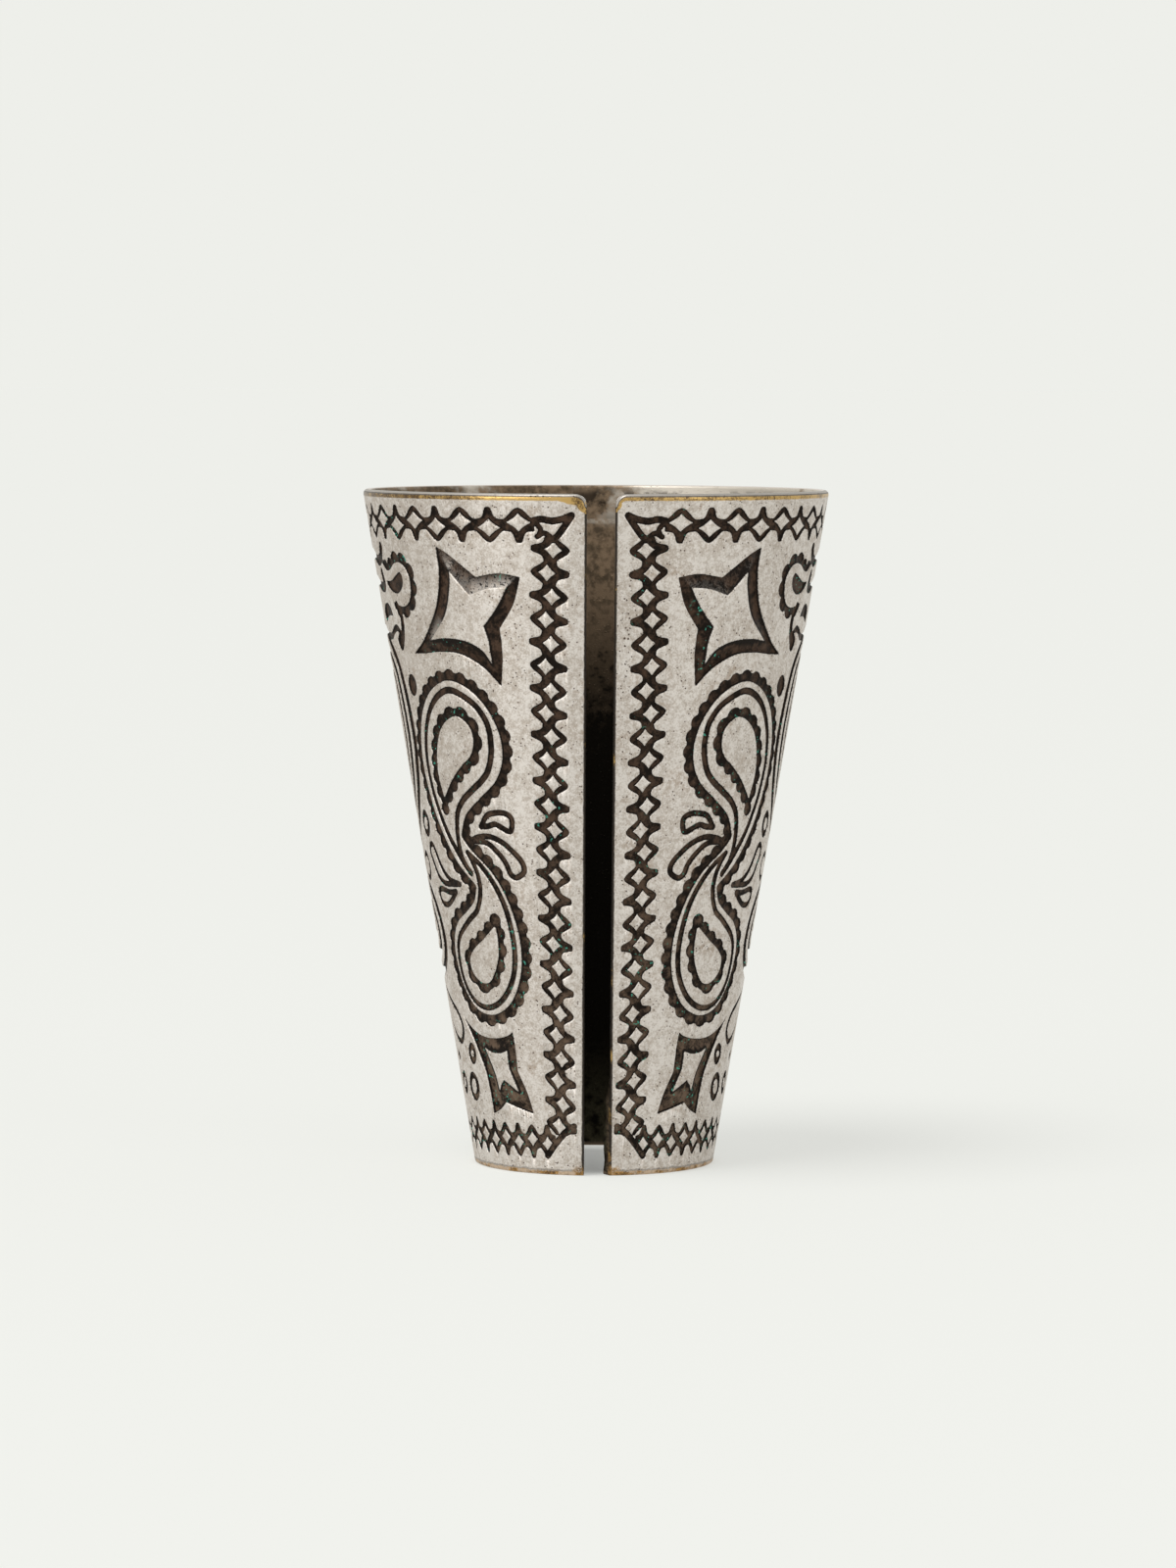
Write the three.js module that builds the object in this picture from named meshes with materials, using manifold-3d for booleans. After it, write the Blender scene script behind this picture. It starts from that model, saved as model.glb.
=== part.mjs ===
// Split cone sleeve: one sheet of brass bent into an open cone, wide end up, with a slit down the front.
// Millimetres, +Z up. The origin is on the axis, at the level that the narrow end stands on.
// The slit faces -Y. The sheet springs about two straight lines of the cone, one on each side of the
// back, and each stretch of sheet between those lines and the slit is a piece of its own.

import * as THREE from "three";
import { mergeVertices } from "three/addons/utils/BufferGeometryUtils.js";
import Module from "manifold-3d";

// The cone, measured outside
const HEIGHT = 110;
const RIM_RADIUS = 38;
const BASE_RADIUS = 19.5;

// The sheet and the rounding of its two round edges
const SHEET = 1.5;
const RIM_ROUND = 0.7;
const BASE_ROUND = 0.3;

// The slit between the two lips, and the rounding of their upper corners
const SLIT_AT_RIM = 4.6;
const SLIT_AT_BASE = 4.2;
const LIP_CORNER = 1.9;

// The lines that the sheet springs about: their angle from the middle of the back, in degrees,
// and the gap that keeps the pieces apart there
const SPRING_ANGLE = 60;
const SPRING_GAP = 0.3;

// How finely round forms are divided
const RING_STEPS = 120;
const ROUND_STEPS = 5;

// The largest share of the wall that one rounded edge takes
const ROUND_SHARE = 0.48;

// How far a cutting solid runs past what it cuts
const OVERRUN = 5;

// Points closer than this are one point
const SAME_POINT = 1e-5;

const FRONT = -Math.PI / 2;
const BACK = Math.PI / 2;
const springAngle = THREE.MathUtils.degToRad(SPRING_ANGLE);
const coneAngle = Math.atan2(RIM_RADIUS - BASE_RADIUS, HEIGHT);
const wallAcross = SHEET / Math.cos(coneAngle);
const cutReach = Math.max(RIM_RADIUS, BASE_RADIUS) + OVERRUN;
const cutHeight = HEIGHT + 2 * OVERRUN;

const wasm = await Module();
wasm.setup();

/** A closed three.js geometry as a solid that can be cut. */
function toSolid(geometry) {
  const bare = geometry.clone();
  bare.deleteAttribute("normal");
  bare.deleteAttribute("uv");
  const merged = mergeVertices(bare, SAME_POINT);
  const vertProperties = new Float32Array(merged.attributes.position.array);
  const triVerts = new Uint32Array(merged.index.array);
  return new wasm.Manifold(new wasm.Mesh({ numProp: 3, vertProperties, triVerts }));
}

/** A solid as a three.js geometry. */
function toGeometry(solid) {
  const { vertProperties, triVerts } = solid.getMesh();
  const geometry = new THREE.BufferGeometry();
  geometry.setAttribute("position", new THREE.BufferAttribute(vertProperties, 3));
  geometry.setIndex(new THREE.BufferAttribute(triVerts, 1));
  geometry.computeVertexNormals();
  return geometry;
}

/** Points of the arc that rounds the corner between two straight sides of an outline. */
function roundedCorner(before, corner, after, radius) {
  const toBefore = before.clone().sub(corner).normalize();
  const toAfter = after.clone().sub(corner).normalize();
  const halfAngle = Math.acos(toBefore.dot(toAfter)) / 2;
  const inward = toBefore.clone().add(toAfter).normalize();
  const centre = corner.clone().addScaledVector(inward, radius / Math.sin(halfAngle));
  const setback = radius / Math.tan(halfAngle);
  const first = corner.clone().addScaledVector(toBefore, setback).sub(centre);
  const last = corner.clone().addScaledVector(toAfter, setback).sub(centre);
  const sweep = Math.atan2(first.cross(last), first.dot(last));
  const pivot = new THREE.Vector2();
  const points = [];
  for (let step = 0; step <= ROUND_STEPS; step += 1) {
    const spoke = first.clone().rotateAround(pivot, (sweep * step) / ROUND_STEPS);
    points.push(spoke.add(centre));
  }
  return points;
}

/** The sheet's section, from the inner foot round by the outer foot and the rim. */
function sheetSection() {
  const mostRound = ROUND_SHARE * wallAcross;
  const rimRound = Math.min(RIM_ROUND, mostRound);
  const baseRound = Math.min(BASE_ROUND, mostRound);
  const corners = [
    { at: new THREE.Vector2(BASE_RADIUS - wallAcross, 0), round: baseRound },
    { at: new THREE.Vector2(BASE_RADIUS, 0), round: baseRound },
    { at: new THREE.Vector2(RIM_RADIUS, HEIGHT), round: rimRound },
    { at: new THREE.Vector2(RIM_RADIUS - wallAcross, HEIGHT), round: rimRound },
  ];
  const points = corners.flatMap(({ at, round }, index) => {
    const before = corners.at(index - 1).at;
    const after = corners[(index + 1) % corners.length].at;
    return roundedCorner(before, at, after, round);
  });
  return [...points, points[0].clone()];
}

/** The whole cone before it is slit. */
function wholeCone() {
  const geometry = new THREE.LatheGeometry(sheetSection(), RING_STEPS);
  geometry.rotateX(Math.PI / 2);
  return toSolid(geometry);
}

/** What the slit takes out: the space between the lips, flared at the rim by their round corners. */
function slitSpace() {
  const rimHalf = SLIT_AT_RIM / 2;
  const baseHalf = SLIT_AT_BASE / 2;
  const flare = rimHalf + LIP_CORNER;
  const cornerFoot = HEIGHT - LIP_CORNER;
  const outline = new THREE.Shape();
  outline.moveTo(-baseHalf, -OVERRUN);
  outline.lineTo(baseHalf, -OVERRUN);
  outline.lineTo(baseHalf, 0);
  outline.lineTo(rimHalf, cornerFoot);
  outline.absarc(flare, cornerFoot, LIP_CORNER, Math.PI, Math.PI / 2, true);
  outline.lineTo(flare, HEIGHT + OVERRUN);
  outline.lineTo(-flare, HEIGHT + OVERRUN);
  outline.absarc(-flare, cornerFoot, LIP_CORNER, Math.PI / 2, 0, true);
  outline.lineTo(-baseHalf, 0);
  const geometry = new THREE.ExtrudeGeometry(outline, {
    depth: cutReach,
    bevelEnabled: false,
    curveSegments: ROUND_STEPS,
  });
  geometry.rotateX(Math.PI / 2);
  return toSolid(geometry);
}

/** The thin gap along one line that the sheet springs about. */
function springGap(angle) {
  const geometry = new THREE.BoxGeometry(cutReach, SPRING_GAP, cutHeight);
  geometry.translate(cutReach / 2, 0, HEIGHT / 2);
  geometry.rotateZ(angle);
  return toSolid(geometry);
}

/** The upright wedge of space between two angles about the axis. */
function sector(from, to) {
  const radius = 2 * cutReach;
  const outline = new THREE.Shape();
  outline.moveTo(0, 0);
  outline.lineTo(radius * Math.cos(from), radius * Math.sin(from));
  outline.absarc(0, 0, radius, from, to, false);
  const geometry = new THREE.ExtrudeGeometry(outline, { depth: cutHeight, bevelEnabled: false });
  geometry.translate(0, 0, -OVERRUN);
  return toSolid(geometry);
}

/** Brass under worn and darkened silver plate. */
function platedBrass(color) {
  return new THREE.MeshStandardMaterial({ color, roughness: 0.42, metalness: 1 });
}

const rightSpring = BACK - springAngle;
const leftSpring = BACK + springAngle;
const sheet = wholeCone()
  .subtract(slitSpace())
  .subtract(springGap(rightSpring))
  .subtract(springGap(leftSpring));

const walls = [
  { name: "back_wall", from: rightSpring, to: leftSpring, color: 0xa9a298 },
  { name: "right_wall", from: FRONT, to: rightSpring, color: 0xbdb6ab },
  { name: "left_wall", from: leftSpring, to: FRONT + 2 * Math.PI, color: 0xbdb6ab },
];

const sleeve = new THREE.Group();
sleeve.name = "split_cone_sleeve";
for (const { name, from, to, color } of walls) {
  const wall = new THREE.Mesh(toGeometry(sheet.intersect(sector(from, to))), platedBrass(color));
  wall.name = name;
  sleeve.add(wall);
}

export default sleeve;
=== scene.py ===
"""Dresses the split cone sleeve: a bent sheet of engraved, antiqued silver plate on brass."""

from __future__ import annotations

import logging
import math
from dataclasses import dataclass
from enum import Enum
from typing import Iterator, Optional, Protocol, Sequence, Union

import bmesh
import bpy
import numpy as np
from mathutils import Matrix, Vector


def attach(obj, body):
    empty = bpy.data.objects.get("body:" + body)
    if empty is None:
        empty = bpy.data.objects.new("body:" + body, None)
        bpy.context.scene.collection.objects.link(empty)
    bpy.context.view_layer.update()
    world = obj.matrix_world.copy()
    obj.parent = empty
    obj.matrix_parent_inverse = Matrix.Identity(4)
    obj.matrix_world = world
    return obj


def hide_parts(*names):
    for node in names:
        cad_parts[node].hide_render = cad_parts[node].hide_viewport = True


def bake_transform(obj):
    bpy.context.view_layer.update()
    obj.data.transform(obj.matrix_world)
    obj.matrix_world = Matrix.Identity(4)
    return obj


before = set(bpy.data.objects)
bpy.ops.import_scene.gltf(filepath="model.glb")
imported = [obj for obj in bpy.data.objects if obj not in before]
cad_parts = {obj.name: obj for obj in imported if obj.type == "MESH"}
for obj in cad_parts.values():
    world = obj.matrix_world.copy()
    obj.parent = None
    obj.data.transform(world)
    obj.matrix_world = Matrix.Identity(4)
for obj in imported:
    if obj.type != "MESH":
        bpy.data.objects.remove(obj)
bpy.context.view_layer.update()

Array = np.ndarray
Point = tuple[float, float]
Colour = tuple[float, float, float]
Place = tuple[float, float, float]
Span = tuple[float, float]
Band = tuple[float, float, float, float]

LOG = logging.getLogger("sleeve")
MM = 0.001

# A length or share too small to divide by
TINY = 1e-6


@dataclass(frozen=True)
class ConeSheet:
    """The bent sheet and its flat development, in millimetres.

    In the flat sheet the slit's middle line runs up the Y axis from the foot at Y = 0 and X runs
    away from it. The cone's apex lies below, at (0, -foot_slant).
    """

    height: float = 110.0
    rim_radius: float = 38.0
    base_radius: float = 19.5
    thickness: float = 1.5
    slit_at_rim: float = 4.6
    slit_at_base: float = 4.2
    lip_corner: float = 1.9
    rim_round: float = 0.7
    base_round: float = 0.3
    lip_round: float = 0.35

    @property
    def slope(self) -> float:
        """Angle between the wall and the axis, in radians."""
        return math.atan2(self.rim_radius - self.base_radius, self.height)

    @property
    def foot_slant(self) -> float:
        """Distance from the apex to the foot along the wall."""
        return self.base_radius / math.sin(self.slope)

    @property
    def rim_slant(self) -> float:
        """Distance from the apex to the rim along the wall."""
        return self.rim_radius / math.sin(self.slope)

    @property
    def half_angle(self) -> float:
        """Flat angle from the slit's middle line to the back's middle line."""
        return math.pi * math.sin(self.slope)

    def lip_angle(self, slant: Array) -> Array:
        """Flat angle of the lip.

        Args:
            slant: Distances from the apex.

        Returns:
            The lip's flat angle at each of them.
        """
        share = (slant - self.foot_slant) / (self.rim_slant - self.foot_slant)
        half_gap = 0.5 * (self.slit_at_base + share * (self.slit_at_rim - self.slit_at_base))
        turn = np.arcsin(half_gap / (slant * math.sin(self.slope)))
        return turn * math.sin(self.slope)

    def bent(self, slant: Array, angle: Array, depth: Array) -> Array:
        """Places points of the flat sheet on the cone.

        Args:
            slant: Distances from the apex along the outer face.
            angle: Signed flat angles from the slit's middle line, positive to the right.
            depth: Depths below the outer face, square to it.

        Returns:
            The points in metres, one row each.
        """
        turn = angle / math.sin(self.slope) - math.pi / 2
        reach = slant * math.sin(self.slope) - depth * math.cos(self.slope)
        rise = (slant - self.foot_slant) * math.cos(self.slope) + depth * math.sin(self.slope)
        return np.stack([reach * np.cos(turn), reach * np.sin(turn), rise], axis=-1) * MM

    def unbent(self, points: Array) -> tuple[Array, Array, Array]:
        """The reverse of bent.

        Args:
            points: Points in metres, one row each.

        Returns:
            Slants, signed flat angles and depths.
        """
        x, y, z = (points / MM).T
        reach = np.hypot(x, y)
        turn = (np.arctan2(y, x) + math.pi / 2 + math.pi) % (2 * math.pi) - math.pi
        along = reach * math.sin(self.slope) + z * math.cos(self.slope)
        offset = self.foot_slant * math.sin(self.slope) ** 2
        slant = along - offset + self.foot_slant
        depth = (self.base_radius - reach) * math.cos(self.slope) + z * math.sin(self.slope)
        return slant, turn * math.sin(self.slope), depth

    def flat(self, slant: Array, angle: Array) -> tuple[Array, Array]:
        """Flat X and Y of points given by slant and flat angle."""
        return slant * np.sin(angle), slant * np.cos(angle) - self.foot_slant


class Outline:
    """A smooth curve through a few points of the flat sheet, sharp at the corners that are named."""

    def __init__(self, points: Sequence[Point], closed: bool = True, corners: Sequence[int] = ()) -> None:
        """Runs the curve through its points.

        Args:
            points: Points of the flat sheet in order.
            closed: Whether the last point joins the first.
            corners: Indices of the points where the curve breaks, the first of them 0 on a closed curve.
        """
        self.closed = closed
        spans = [self._smooth(span, ring) for span, ring in self._spans(np.asarray(points, float), corners)]
        self.path = np.vstack([span[:-1] for span in spans] + [spans[-1][-1:]])
        self.steps = np.diff(self.path, axis=0)
        self.sizes = np.hypot(*self.steps.T)
        self.length = float(self.sizes.sum())

    def _spans(self, points: Array, corners: Sequence[int]) -> list[tuple[Array, bool]]:
        """Splits the points at the corners.

        Args:
            points: The curve's points.
            corners: Indices of the points where it breaks.

        Returns:
            The stretches between corners, each with whether it is a ring.
        """
        if not corners:
            return [(points, self.closed)]
        if self.closed:
            points = np.vstack([points, points[:1]])
        cuts = sorted({0, *corners, len(points) - 1})
        return [(points[a:b + 1], False) for a, b in zip(cuts, cuts[1:])]

    @staticmethod
    def _smooth(points: Array, ring: bool, fine: int = 8) -> Array:
        """A Catmull-Rom curve through the points.

        Args:
            points: The points in order.
            ring: Whether the last point joins the first.
            fine: Parts that each step is divided into.

        Returns:
            The curve as a finer row of points.
        """
        before = points[-1:] if ring else 2 * points[:1] - points[1:2]
        after = points[:2] if ring else 2 * points[-1:] - points[-2:-1]
        padded = np.vstack([before, points, after])
        t = (np.arange(fine) / fine)[:, None]
        parts = [
            0.5 * (2 * b + (c - a) * t + (2 * a - 5 * b + 4 * c - d) * t**2 + (3 * b - a - 3 * c + d) * t**3)
            for a, b, c, d in zip(padded, padded[1:], padded[2:], padded[3:])
        ]
        return np.vstack([*parts, padded[-2:-1]])

    def measure(self, x: Array, y: Array) -> tuple[Array, Array]:
        """Measures points against the curve.

        Args:
            x: Flat X of the points.
            y: Flat Y of the points.

        Returns:
            The distance outside a closed curve or left of an open one, negative on the other side, and
            how far along the curve it lies.
        """
        best = np.full(x.shape, np.inf)
        along = np.zeros(x.shape)
        inside = np.zeros(x.shape, bool)
        right = np.zeros(x.shape, bool)
        passed = 0.0
        for (ax, ay), (sx, sy), size in zip(self.path, self.steps, self.sizes):
            if size < TINY:
                continue
            dx, dy = x - ax, y - ay
            t = np.clip((dx * sx + dy * sy) / size, 0, size)
            gap = (dx - t * sx / size) ** 2 + (dy - t * sy / size) ** 2
            nearer = gap < best
            best[nearer] = gap[nearer]
            along[nearer] = passed + t[nearer]
            right[nearer] = (sx * dy < sy * dx)[nearer]
            if sy:
                inside ^= ((dy < 0) != (dy < sy)) & (dx < dy * sx / sy)
            passed += size
        gap = np.sqrt(best)
        return np.where(inside if self.closed else right, -gap, gap), along


@dataclass(frozen=True)
class Groove:
    """The section that a graver leaves: a flat floor between steep walls."""

    depth: float = 0.42
    wall: float = 0.17

    def cut(self, inside: Array) -> Array:
        """Depth at a distance inside the groove's edge."""
        t = np.clip(inside / self.wall, 0, 1)
        return self.depth * t * t * (3 - 2 * t)


class EngravingMap:
    """Depth of the engraving over one half of the flat sheet, on rows of slant and columns of flat angle."""

    # Cells that a sample keeps from the map's far edges, so that it has a neighbour to blend with
    FROM_EDGE = 1.001

    def __init__(self, sheet: ConeSheet, step: float, shift: float = 0.2) -> None:
        """Lays out an empty map.

        Args:
            sheet: The sheet that is engraved.
            step: Size of the cells at the rim, in millimetres.
            shift: How far the whole engraving lies to the left of the sheet's middle line, in millimetres.
        """
        self.sheet = sheet
        self.shift = shift
        rows = int((sheet.rim_slant - sheet.foot_slant) / step) + 1
        columns = int(sheet.half_angle * sheet.rim_slant / step) + 1
        self.slant = np.linspace(sheet.foot_slant, sheet.rim_slant, rows)
        self.angle = np.linspace(0, sheet.half_angle, columns)
        self.x, self.y = sheet.flat(self.slant[:, None], self.angle[None, :])
        self.depth = np.zeros((rows, columns))
        self.stain = np.zeros((rows, columns))
        # Where the stars' slopes get a painted glint
        self.shine = np.zeros((rows, columns))

    def window(self, path: Array, margin: float) -> tuple[slice, slice]:
        """The part of the map round a path.

        Args:
            path: Points of the flat sheet.
            margin: Millimetres to add all round.

        Returns:
            The rows and the columns.
        """
        slant = np.hypot(path[:, 0], path[:, 1] + self.sheet.foot_slant)
        angle = np.arctan2(path[:, 0], path[:, 1] + self.sheet.foot_slant)
        low, high = np.searchsorted(self.slant, [slant.min() - margin, slant.max() + margin])
        spread = margin / slant.min()
        first, last = np.searchsorted(self.angle, [angle.min() - spread, angle.max() + spread])
        return slice(low, high), slice(first, last)

    def carve(self, where: Union[Array, tuple], depth: Array, stain: Optional[Array] = None) -> None:
        """Deepens the map.

        Args:
            where: Cells of the map.
            depth: The least depth there.
            stain: How dark the cut is, from 0 to 1, or None for what the depth gives.
        """
        stain = depth / Groove().depth if stain is None else stain
        self.depth[where] = np.maximum(self.depth[where], depth)
        self.stain[where] = np.maximum(self.stain[where], np.minimum(stain, 1))

    def mirror(self) -> None:
        """Copies the engraving across the middle line of this half of the sheet."""
        self.depth = np.maximum(self.depth, self.depth[:, ::-1])
        self.stain = np.maximum(self.stain, self.stain[:, ::-1])
        self.shine = np.maximum(self.shine, self.shine[:, ::-1])

    def sample(self, layer: Array, slant: Array, angle: Array) -> Array:
        """Reads the map between its cells.

        Args:
            layer: The map's depth, stain or painted glint.
            slant: Slants of the points.
            angle: Their signed flat angles.

        Returns:
            The layer's value at each point.
        """
        rows, columns = layer.shape
        i = np.clip((slant - self.slant[0]) / (self.slant[1] - self.slant[0]), 0, rows - self.FROM_EDGE)
        half = self.sheet.half_angle
        folded = half - np.abs(half - np.abs(angle + self.shift / slant))
        j = np.clip(folded / self.angle[1], 0, columns - self.FROM_EDGE)
        low, first = i.astype(int), j.astype(int)
        di, dj = i - low, j - first
        near = layer[low, first] * (1 - dj) + layer[low, first + 1] * dj
        far = layer[low + 1, first] * (1 - dj) + layer[low + 1, first + 1] * dj
        return near * (1 - di) + far * di


class Motif(Protocol):
    """Anything that can be engraved."""

    def engrave(self, target: EngravingMap) -> None:
        """Cuts the motif into the map."""


@dataclass(frozen=True)
class LineMotif:
    """A plain groove of one width along a curve, and along insets of it."""

    outline: Outline
    width: float = 1.18
    insets: tuple[float, ...] = (0.0,)
    groove: Groove = Groove()

    def engrave(self, target: EngravingMap) -> None:
        """Cuts the groove into the map.

        Args:
            target: The map.
        """
        where = target.window(self.outline.path, self.width)
        gap, _ = self.outline.measure(target.x[where], target.y[where])
        for inset in self.insets:
            target.carve(where, self.groove.cut(self.width / 2 - np.abs(gap + inset)))


@dataclass(frozen=True)
class ScallopMotif:
    """A groove along a closed curve with a row of round punch marks along its outer side."""

    outline: Outline
    middle: float
    half_width: float
    mark_radius: float
    mark_middle: float
    pitch: float = 2.45
    margin: float = 0.2
    dish: float = 0.25
    groove: Groove = Groove()

    def engrave(self, target: EngravingMap) -> None:
        """Cuts the groove and its marks into the map.

        Args:
            target: The map.
        """
        where = target.window(self.outline.path, self.mark_middle + self.mark_radius + self.margin)
        gap, along = self.outline.measure(target.x[where], target.y[where])
        count = round(self.outline.length / self.pitch)
        pitch = self.outline.length / count
        beside = (along / pitch) % 1 - 0.5
        band = self.half_width - np.abs(gap - self.middle)
        mark = self.mark_radius - np.hypot(gap - self.mark_middle, beside * pitch)
        dished = 1 - self.dish * np.clip(2 * np.abs(beside), 0, 1) ** 2
        mark = np.minimum(mark, gap - self.middle + self.half_width)
        target.carve(where, self.groove.cut(np.maximum(band, mark)) * dished)


@dataclass(frozen=True)
class PitMotif:
    """A sunk field inside a closed curve."""

    outline: Outline
    margin: float = 0.2
    groove: Groove = Groove()

    def engrave(self, target: EngravingMap) -> None:
        """Sinks the field into the map.

        Args:
            target: The map.
        """
        where = target.window(self.outline.path, self.margin)
        gap, _ = self.outline.measure(target.x[where], target.y[where])
        target.carve(where, self.groove.cut(-gap))


@dataclass(frozen=True)
class StarMotif:
    """A four-pointed star: a steep wall along its outline and a slope that rises to the star's island."""

    outline: Outline
    island: Outline
    # How strongly the slopes get a painted glint, bright silver where light would catch them
    shine: float = 1.0
    inset: float = 0.22
    island_step: float = 0.16
    ragged: float = 0.55
    margin: float = 0.2
    # Steepness at which the painted glint starts and is full, and how far it reaches from the island
    glint_from: float = 0.646
    glint_to: float = 0.8
    glint_reach: float = 1.3
    groove: Groove = Groove(depth=0.55)

    def engrave(self, target: EngravingMap) -> None:
        """Cuts the wall and the slope into the map, and marks the slopes whose depth grows up the wall for a
        painted glint, bright silver where light would catch them.

        Args:
            target: The map.
        """
        where = target.window(self.outline.path, self.margin)
        outside, _ = self.outline.measure(target.x[where], target.y[where])
        island, _ = self.island.measure(target.x[where], target.y[where])
        inward = np.maximum(-outside, 0)
        to_island = np.maximum(island + self.inset, 0)
        slope = to_island / np.maximum(to_island + inward, TINY)
        wall = self.groove.cut(inward) * np.clip(to_island / self.groove.wall, 0, 1)
        stain = self.groove.cut(inward) / self.groove.depth * np.clip(to_island / self.ragged, 0, 1)
        target.carve(where, wall * np.minimum(self.island_step + slope, 1), stain)
        # Painted glint on the slopes that deepen up the wall, strongest near the island
        upward = np.gradient(to_island, target.slant[1] - target.slant[0], axis=0)
        glint_share = np.clip((upward - self.glint_from) / (self.glint_to - self.glint_from), 0, 1)
        glinting = self.shine * glint_share * np.clip(self.glint_reach * (1 - slope), 0, 1)
        target.shine[where] = np.maximum(target.shine[where], glinting * (outside < 0))


@dataclass(frozen=True)
class RingMotif:
    """An oval pit, with an oval island in it where the island has a size."""

    middle: Point
    half: Point
    island: Point = (0.0, 0.0)
    margin: float = 0.3
    groove: Groove = Groove()

    def engrave(self, target: EngravingMap) -> None:
        """Cuts the oval into the map.

        Args:
            target: The map.
        """
        corners = np.array(self.middle) + np.array([(-1, -1), (1, -1), (1, 1), (-1, 1)]) * self.half
        where = target.window(corners, self.margin)
        x = target.x[where] - self.middle[0]
        y = target.y[where] - self.middle[1]
        inside = self._inside(x, y, self.half)
        if min(self.island) > 0:
            inside = np.minimum(inside, -self._inside(x, y, self.island))
        target.carve(where, self.groove.cut(inside))

    @staticmethod
    def _inside(x: Array, y: Array, half: Point) -> Array:
        """About how far inside an oval of these half sizes the points lie."""
        return (1 - np.hypot(x / half[0], y / half[1])) * min(half)


@dataclass(frozen=True)
class Chain:
    """The border: a dark zigzag band round a row of diamonds.

    Each diamond has a round bend of the band on one side and a blunt spike on the other, and the sides
    change from diamond to diamond.
    """

    pitch: float
    bend: float = 3.12
    spike: float = 3.25
    notch: float = 1.10
    spike_half: float = 0.80
    diamond: float = 1.45
    diamond_shift: float = 0.45
    diamond_gap: float = 0.92
    hollow: float = 0.80
    bend_power: float = 1.5
    spike_power: float = 5.0
    diamond_edge: float = 0.7
    slope_step: float = 0.05
    groove: Groove = Groove()

    def depth(self, across: Array, along: Array) -> Array:
        """Depth of the chain.

        Args:
            across: Distances from the chain's middle line, the first bend on the positive side.
            along: Distances along it from the first diamond.

        Returns:
            The depth at each point.
        """
        cell = np.round(along / self.pitch)
        a = across * np.where(cell % 2 == 0, 1.0, -1.0)
        b = np.abs(along - cell * self.pitch)
        step = self.slope_step
        slope = (self._reach(a, b + step) - self._reach(a, b - step)) / (2 * step)
        band = (self._reach(a, b) - np.abs(a)) / np.hypot(1, slope)
        u = np.abs(a - self.diamond_shift) / self.diamond
        v = 2 * b / (self.pitch - self.diamond_gap)
        beside = (u**self.hollow + v**self.hollow) ** (1 / self.hollow) - 1
        return self.groove.cut(np.minimum(band, self.diamond_edge * self.diamond * beside))

    def _reach(self, a: Array, b: Array) -> Array:
        """How far the band reaches from the middle line.

        Args:
            a: Distances across, positive on the bend's side and negative on the spike's.
            b: Distances along from the nearest diamond.

        Returns:
            The band's edge at each point.
        """
        bend = np.abs(np.cos(math.pi * b / self.pitch)) ** self.bend_power
        spike = 1 / (1 + (b / self.spike_half) ** self.spike_power)
        reach = np.where(a > 0, (self.bend - self.notch) * bend, (self.spike - self.notch) * spike)
        return self.notch + reach


@dataclass(frozen=True)
class LipChain:
    """The chain up the lip, and how its middle line, its scale and its lean change with the height."""

    low: float = 6.55
    high: float = 104.6
    widest: float = 14.0
    first_diamond: float = 11.8
    middle: float = 5.3
    middle_rise: float = 0.036
    turn_from: float = 70.0
    turn_back: float = 0.0011
    scale: float = 0.79
    scale_rise: float = 0.0021
    lean: float = 0.21
    lean_rise: float = -0.0016
    chain: Chain = Chain(3.783)

    def engrave(self, target: EngravingMap) -> None:
        """Cuts the chain into the map.

        Args:
            target: The map.
        """
        where = (target.x < self.widest) & (target.y > self.low) & (target.y < self.high)
        x, y = target.x[where], target.y[where]
        middle = self.middle + self.middle_rise * y - self.turn_back * np.maximum(y - self.turn_from, 0) ** 2
        across = (middle - x) / (self.scale + self.scale_rise * y)
        along = y - self.first_diamond + (self.lean + self.lean_rise * y) * across
        target.carve(where, self.chain.depth(across, along))


@dataclass(frozen=True)
class RingChain:
    """A chain round the sleeve: height, first diamond's turn and bend side, and the turn per diamond."""

    height: float
    first_turn: float
    turn: float
    first_side: float
    chain: Chain
    half_band: float = 4.0

    def engrave(self, target: EngravingMap) -> None:
        """Cuts the chain into the map.

        Args:
            target: The map.
        """
        rows = target.slant - target.sheet.foot_slant
        turn = np.degrees(target.angle / math.sin(target.sheet.slope))
        band = np.abs(rows - self.height) < self.half_band
        shown = turn > self.first_turn - self.turn / 2
        along = (turn[shown] - self.first_turn) * self.chain.pitch / self.turn
        across = (rows[band] - self.height) * self.first_side
        along, across = np.broadcast_arrays(along[None, :], across[:, None])
        target.carve(np.ix_(band, shown), self.chain.depth(across, along))


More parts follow.
